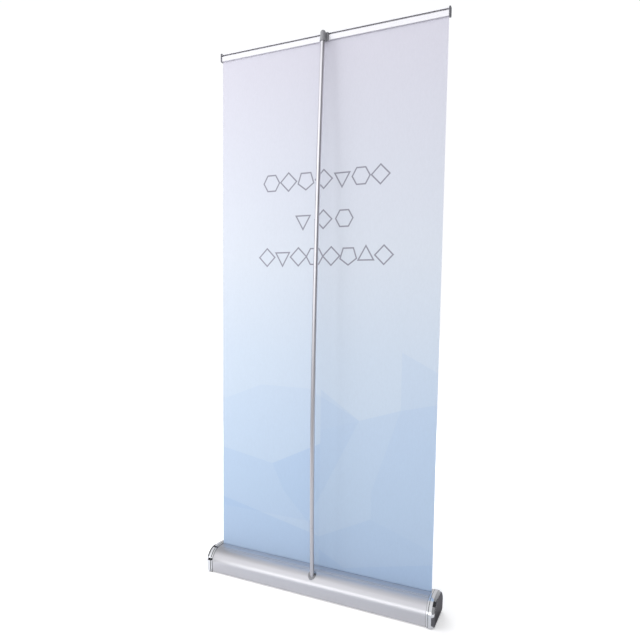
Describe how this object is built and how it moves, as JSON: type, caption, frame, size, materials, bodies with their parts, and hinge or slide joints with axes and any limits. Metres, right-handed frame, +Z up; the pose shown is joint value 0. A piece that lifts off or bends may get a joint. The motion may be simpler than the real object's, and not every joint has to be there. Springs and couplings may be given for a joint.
{
  "type": "roll-up banner stand",
  "caption": "Retractable banner stand: low spring-roller base with bevelled end caps, sectional rear pole with a top hook, and a snap rail that holds the hanging sheet.",
  "frame": {"origin": "middle of the base's footprint, on the floor", "axes": "+Z up, X along the base and the rail, the printed face looks towards -Y and the pole stands behind the sheet on the +Y side"},
  "size_m": [0.9052, 0.1428, 1.995],
  "materials": {
    "anodised_aluminium": "satin silver anodised extrusion",
    "pole_aluminium": "satin anodised drawn tube",
    "roller_aluminium": "mill finish tube",
    "chrome": "bright chrome plating",
    "black_plastic": "moulded black plastic",
    "grey_plastic": "moulded grey plastic",
    "rubber": "matte black rubber",
    "steel": "zinc plated steel",
    "spring_steel": "oiled spring steel",
    "sheet_film": "matt coated film, pale grey-blue",
    "elastic_cord": "braided elastic cord"
  },
  "bodies": {
    "base": {"base_housing": "anodised_aluminium", "end_bracket_left": "black_plastic", "end_bracket_right": "black_plastic", "bracket_screws": "steel", "end_cap_left": "chrome", "end_cap_right": "chrome", "rubber_feet": "rubber", "pole_socket": "black_plastic", "socket_screws": "steel", "socket_grommet": "chrome", "spring_shaft": "steel", "torsion_spring": "spring_steel"},
    "roller": {"roller_tube": "roller_aluminium", "wound_sheet": "sheet_film", "roller_plug_left": "black_plastic", "roller_plug_right": "black_plastic"},
    "rail": {"banner_sheet": "sheet_film", "rail_back": "anodised_aluminium", "rail_end_cap_left": "grey_plastic", "rail_end_cap_right": "grey_plastic"},
    "rail_jaw": {"rail_jaw": "anodised_aluminium", "grip_strip": "rubber"},
    "pole_lower": {"pole_tube_lower": "pole_aluminium", "pole_foot_plug": "black_plastic", "bungee_lower": "elastic_cord"},
    "pole_middle": {"pole_tube_middle": "pole_aluminium", "ferrule_middle": "steel", "bungee_middle": "elastic_cord"},
    "pole_upper": {"pole_tube_upper": "pole_aluminium", "ferrule_upper": "steel", "bungee_upper": "elastic_cord", "cord_anchor": "steel", "pole_hook": "grey_plastic"}
  },
  "joints": [
    {"name": "banner_retract", "type": "slide", "parent": "base", "child": "rail", "axis": [0, 0, -1], "range_m": [0, 1.87], "deforming": ["banner_sheet"]},
    {"name": "roller_spin", "type": "hinge", "parent": "base", "child": "roller", "pos_m": [0, 0.0076, 0.042], "axis": [1, 0, 0], "range_deg": [0, 5700]},
    {"name": "rail_jaw_open", "type": "hinge", "parent": "rail", "child": "rail_jaw", "pos_m": [0, -0.0142, 1.9855], "axis": [-1, 0, 0], "range_deg": [0, 60]},
    {"name": "pole_lift", "type": "slide", "parent": "base", "child": "pole_lower", "axis": [0, 0.0384, 0.9993], "range_m": [0, 0.15]},
    {"name": "pole_mid_pull", "type": "slide", "parent": "pole_lower", "child": "pole_middle", "axis": [0, -0.0035, 1], "range_m": [0, 0.1]},
    {"name": "pole_upper_pull", "type": "slide", "parent": "pole_middle", "child": "pole_upper", "axis": [0, -0.0384, 0.9993], "range_m": [0, 0.1]}
  ],
  "couplings": [
    {"joint": "roller_spin", "follows": "banner_retract", "rad_per_m": 52.9}
  ]
}
